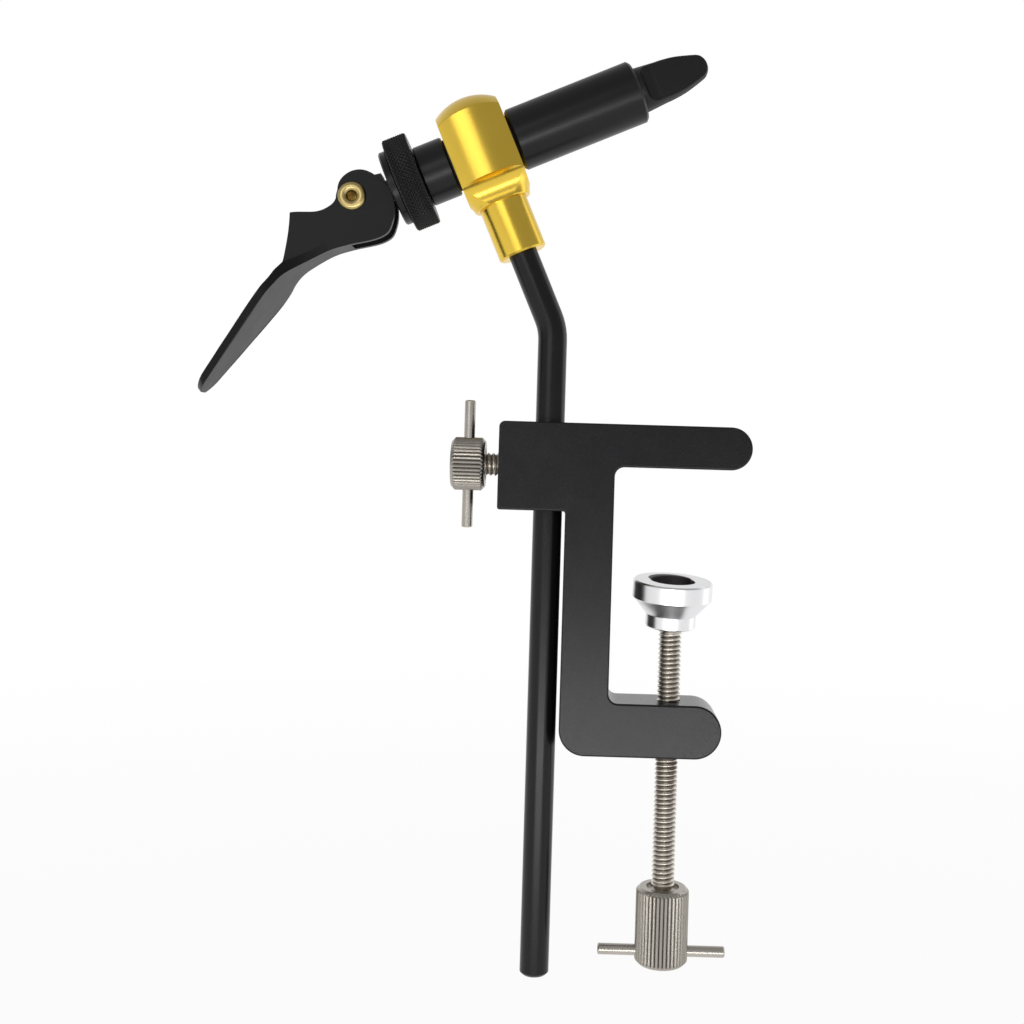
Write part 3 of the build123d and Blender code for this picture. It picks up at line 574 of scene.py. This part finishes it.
for rod, node, body in ((clamp_rod, "clamp_screw", "screw"), (lock_rod, "lock_screw", "lock")):
    rod.data.materials.append(finishes["nickel_thread"])
    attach(rod, body)
    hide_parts(node)
    print(rod.name, len(rod.data.polygons), "faces")

# %% [markdown]
# ## Swivel pad
# The pad is turned from bright bar: a collar that is rolled over the ball, a cone and a broad rim with a round
# recess in its face. It rests a little askew on the ball, as loose pads do. The lathe takes any axis, so the
# points are laid out askew and the piece itself stays unturned.

# %% Clamp pad
centre_radius = 0.0002
pad_turns, pad_step = 96, 0.0005
pad_axis = Vector((sin(pad_sway), -sin(pad_nod), cos(pad_sway) * cos(pad_nod))).normalized()
pad_side = pad_axis.orthogonal().normalized()
pad_recess = [(0.0042, centre_radius), (0.0042, 0.0061), (0.0093, 0.0061), (0.0095, 0.0063)]
pad_rim = [(0.0095, 0.01045), (0.0091, 0.01085), (0.0047, 0.01085), (0.0043, 0.01045)]
pad_collar = [(0.0002, 0.0069), (-0.0030, 0.0069), (-0.0034, 0.0065), (-0.0034, 0.0030)]
socket_radius, socket_steps = 0.00315, 24
socket_sweep = np.radians(np.linspace(126.0, 2.0, socket_steps))
pad_socket = [(socket_radius * cos(a), socket_radius * sin(a)) for a in socket_sweep]
pad_place, pad_base = profile(pad_recess + pad_rim + pad_collar + pad_socket, pad_step)
pad_skin = plain_lathe(
    "clamp_pad_turned",
    pad_place,
    pad_base,
    turns=pad_turns,
    origin=ball_centre,
    axis=tuple(pad_axis),
    side=tuple(pad_side),
)
pad_skin.data.materials.append(finishes["bright_chrome"])
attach(pad_skin, "pad")
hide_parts("clamp_pad")
print(pad_skin.name, len(pad_skin.data.polygons), "faces")

# %% [markdown]
# ## Lever pin
# The lever turns on a brass rivet. Its near end is rolled over into a round rim about a blind hole, so its
# half section has half an ellipse there, and the far end is a plain rounded head. A bevel could round the
# edges too, but a half section gives the whole pin in one list.

# %% Pivot pin of the lever
pin_turns, pin_step, roll_steps = 64, 0.0004, 17
cheek, rim_height, hole_floor = 0.0050, 0.0010, -0.0020
hole_radius, head_radius, shank_radius = 0.00135, 0.0039, 0.0023
rim_middle, rim_half = (head_radius + hole_radius) / 2, (head_radius - hole_radius) / 2
roll = np.radians(np.linspace(0.0, 180.0, roll_steps))
near_rim = [(cheek + rim_height * sin(a), rim_middle + rim_half * cos(a)) for a in roll]
far_head = [(-cheek - rim_height * cos(a / 2), head_radius - rim_height * (1 - sin(a / 2))) for a in roll]
pin_start = [(-cheek - rim_height, centre_radius)]
pin_shank = [(-cheek, shank_radius), (cheek, shank_radius)]
pin_hole = [(hole_floor, hole_radius), (hole_floor, centre_radius)]
pin_place, pin_base = profile(pin_start + far_head + pin_shank + near_rim + pin_hole, pin_step)
pin_skin = plain_lathe(
    "lever_pin_rolled",
    pin_place,
    pin_base,
    turns=pin_turns,
    origin=tuple(lever_pivot),
    axis=(0.0, -1.0, 0.0),
    side=x_axis,
)
pin_skin.data.materials.append(finishes["brass"])
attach(pin_skin, "lever")
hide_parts("lever_pin")
print(pin_skin.name, len(pin_skin.data.polygons), "faces")

# %% [markdown]
# ## Straight knurls
# The two knobs are pressed with straight ridges so that dry or wet fingers hold them. Each ridge has a broad
# back and each groove a sharp floor, and both fade out over the chamfer at the ends. Bump alone would leave
# the knob's outline smooth, so the ridges are true shape.

# %% Clamp knob and lock knob
knob_radius, knob_chamfer, knob_step = 0.00725, 0.0010, 0.0004
mouth_radius, mouth_floor_radius, mouth_depth = 0.0045, 0.0044, 0.0008
ridge_count, ridge_points, ridge_power = 40, 8, 0.55
flute_depth = 0.00045


def straight_knob(name, mouth, end, origin, axis, side):
    """A knob from its mouth to its end, a recess at the mouth, and ridges along its side."""
    way = np.sign(end - mouth)
    recess = mouth + way * mouth_depth
    corners = [
        (recess, tip_radius),
        (recess, mouth_floor_radius),
        (mouth, mouth_radius),
        (mouth, knob_radius - knob_chamfer),
        (mouth + way * knob_chamfer, knob_radius),
        (end - way * knob_chamfer, knob_radius),
        (end, knob_radius - knob_chamfer),
        (end, tip_radius),
    ]
    place, base = profile(corners, knob_step)
    around = ridge_points * ridge_count
    ridge = zigzag(np.arange(around) / around * ridge_count) ** ridge_power
    floor = knob_radius - flute_depth
    deep = np.clip((base - floor) / flute_depth, 0, 1)[:, None]
    radius = base[:, None] - flute_depth * deep * (1 - ridge)[None, :]
    crest = 1 - deep * (1 - ridge)[None, :]
    return lathe(name, place, radius, crest, origin, axis, side)


clamp_grip = straight_knob(
    "clamp_knob_knurl", mouth=-0.1146, end=-0.1354, origin=origin, axis=z_axis, side=x_axis
)
lock_grip = straight_knob(
    "lock_knob_knurl", mouth=-0.0520, end=-0.0612, origin=lock_origin, axis=x_axis, side=y_axis
)
for grip, node, body in ((clamp_grip, "clamp_knob", "screw"), (lock_grip, "lock_knob", "lock")):
    grip.data.materials.append(finishes["nickel_knurl"])
    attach(grip, body)
    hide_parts(node)
    print(grip.name, len(grip.data.polygons), "faces")

# %% [markdown]
# ## Diamond knurl
# The adjusting nut's rim is cut by two sets of slanted grooves that cross, which leaves small pyramids. The
# height at a point is the lower of the two sets' ridges there, with the tips cut flat. As on the knobs it is
# true shape, so the nut's outline is toothed as well.

# %% Adjusting nut
nut_front, nut_rear = -0.01785, -0.02455
nut_radius, nut_bore, nut_chamfer, nut_step = 0.0130, 0.0052, 0.0004, 0.00016
diamonds, diamond_points, tip_flat = 66, 8, 1.25
knurl_depth, knurl_fade = 0.00042, 0.0005
nut_corners = [
    (nut_front, nut_bore),
    (nut_front, nut_radius - nut_chamfer),
    (nut_front - nut_chamfer, nut_radius),
    (nut_rear + nut_chamfer, nut_radius),
    (nut_rear, nut_radius - nut_chamfer),
    (nut_rear, nut_bore),
]
nut_place, nut_base = profile(nut_corners, nut_step)
around = diamond_points * diamonds
lap = np.arange(around)[None, :] / around * diamonds
climb = nut_place[:, None] / (2 * pi * nut_radius / diamonds)
pyramid = np.minimum(1.0, tip_flat * np.minimum(zigzag(lap + climb), zigzag(lap - climb)))
deep = np.clip((nut_base - nut_radius + knurl_fade) / knurl_fade, 0, 1)[:, None]
nut_skin = lathe(
    "adjusting_nut_knurl",
    nut_place,
    nut_base[:, None] - knurl_depth * deep * (1 - pyramid),
    1 - deep * (1 - pyramid),
    origin=tuple(barrel_middle),
    axis=tuple(along_barrel),
    side=y_axis,
)
nut_skin.data.materials.append(finishes["black_knurl"])
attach(nut_skin, "nut")
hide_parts("adjusting_nut")
print(nut_skin.name, len(nut_skin.data.polygons), "faces")

# %% [markdown]
# ## The studio
# The picture has a plain white ground. The floor lies well below the vise, which hangs as if clamped to a
# table, and both floor and world show white to the camera while they light the object at a plain level. More
# light would whiten the ground too, but it would bleach the blacks. Three area lamps stand for soft panels.

# %% Floor, world and lamps
white = rgb(1.0, 1.0, 1.0)


def pale_floor():
    """A pale floor that keeps a faint shadow near the vise and is plain white farther off."""
    f = Finish("pale_floor")
    p = f.place()
    x, y = (f.part(p, axis) for axis in "XY")
    far = ((x * x + y * y) ** 0.5).over(edge=1.0, width=1.2)
    pale = f.mix(f.noise(p, scale=3.0), rgb(0.80, 0.80, 0.80), rgb(0.84, 0.84, 0.84))
    diffuse = f.node("ShaderNodeBsdfDiffuse", Color=pale)
    shown = f.node("ShaderNodeEmission", Color=white, Strength=1.0)
    factor = f.ray("Camera", "Glossy", "Transmission") * (0.95 + far * 0.05)
    return f.ends(f.node("ShaderNodeMixShader", at0=factor, at1=diffuse, at2=shown))


def studio_world():
    """White behind the vise. Metal also shows the room behind the camera, dim on the right and paler on the
    left, and a backdrop that is less white overhead."""
    f = Finish("studio_world", world=True)
    sky = f.node("ShaderNodeTexCoord", out="Generated")
    right, ahead, up = (f.part(sky, axis) for axis in "XYZ")
    room = 0.16 + (0 - right).over(edge=0.4, width=0.6) * 0.22
    backdrop = ahead.over(edge=0.35, width=0.7)
    overhead = up.over(edge=0.45, width=0.5)
    seen = room + backdrop * (1 - overhead * 0.65) * (1 - room)
    factor = f.ray("Camera") + f.ray("Glossy", "Transmission") * seen
    light = f.node("ShaderNodeBackground", Color=white, Strength=0.30)
    shown = f.node("ShaderNodeBackground", Color=white, Strength=1.0)
    return f.ends(f.node("ShaderNodeMixShader", at0=factor, at1=light, at2=shown), "ShaderNodeOutputWorld")


half, floor_level = 4.0, -0.30
floor_corners = [(x * half, y * half, floor_level) for x, y in ((-1, -1), (1, -1), (1, 1), (-1, 1))]
floor_mesh = bpy.data.meshes.new("studio_floor")
floor_mesh.from_pydata(floor_corners, [], [(0, 1, 2, 3)])
floor_mesh.materials.append(pale_floor())
floor = bpy.data.objects.new("studio_floor", floor_mesh)
scene.collection.objects.link(floor)
scene.world = studio_world()


def lamp(name, place, aim, size, watts):
    data = bpy.data.lights.new(name, "AREA")
    data.shape = "RECTANGLE"
    data.size, data.size_y = size
    data.energy = watts
    made = bpy.data.objects.new(name, data)
    made.location = place
    made.rotation_euler = (Vector(aim) - Vector(place)).to_track_quat("-Z", "Y").to_euler()
    scene.collection.objects.link(made)


lamp("key_panel", place=(-0.38, -0.90, 0.26), aim=(-0.05, 0.0, 0.08), size=(0.55, 0.4), watts=1.1)
lamp("side_panel", place=(0.70, 0.25, 0.15), aim=(-0.03, 0.0, 0.0), size=(0.25, 0.9), watts=0.6)
lamp("low_panel", place=(-0.05, -0.62, -0.40), aim=(-0.03, 0.0, 0.0), size=(0.7, 0.46), watts=6.0)
scene.view_settings.view_transform = "Standard"
print("floor at", floor_level)
